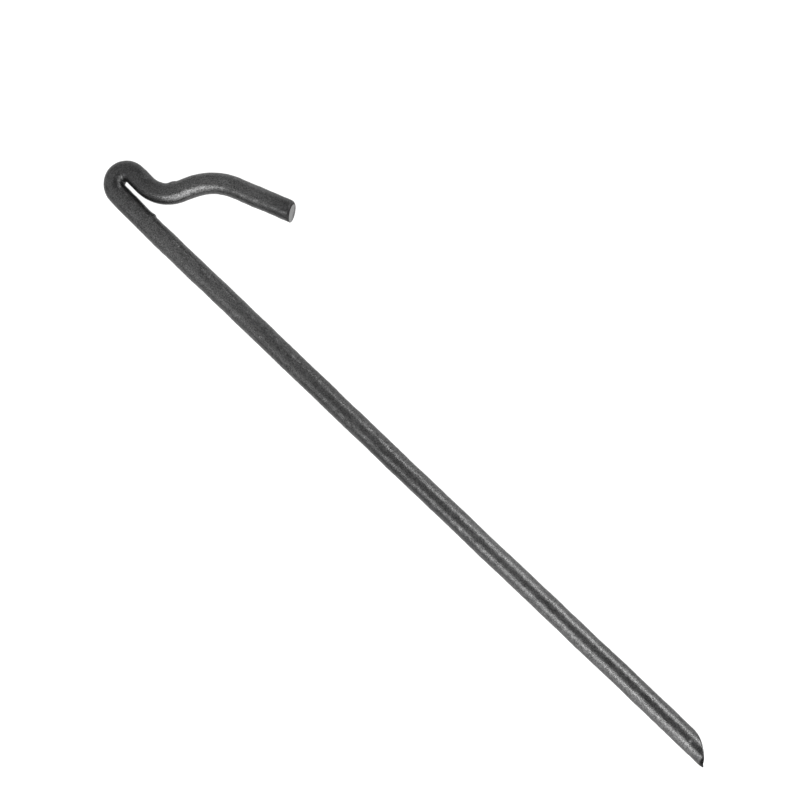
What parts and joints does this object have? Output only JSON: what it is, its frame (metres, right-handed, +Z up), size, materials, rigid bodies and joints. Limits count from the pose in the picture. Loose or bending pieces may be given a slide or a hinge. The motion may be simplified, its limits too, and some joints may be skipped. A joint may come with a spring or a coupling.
{
  "type": "tent stake",
  "caption": "Ground stake bent from one round steel bar: a slanting sheared point, a straight shaft, and a tight hairpin head that turns up into a hook arm for a guy line.",
  "frame": {"origin": "on the surface that the stake lies on, under the middle of the stake's box", "axes": "+X along the shaft from the hairpin head to the point; +Y across the stake, towards the side that the hook arm is on; +Z up from the surface that it lies on"},
  "size_m": [0.3948, 0.061, 0.01],
  "materials": {
    "black_steel": "satin"
  },
  "bodies": {
    "root": {"stake": "black_steel"}
  },
  "joints": []
}
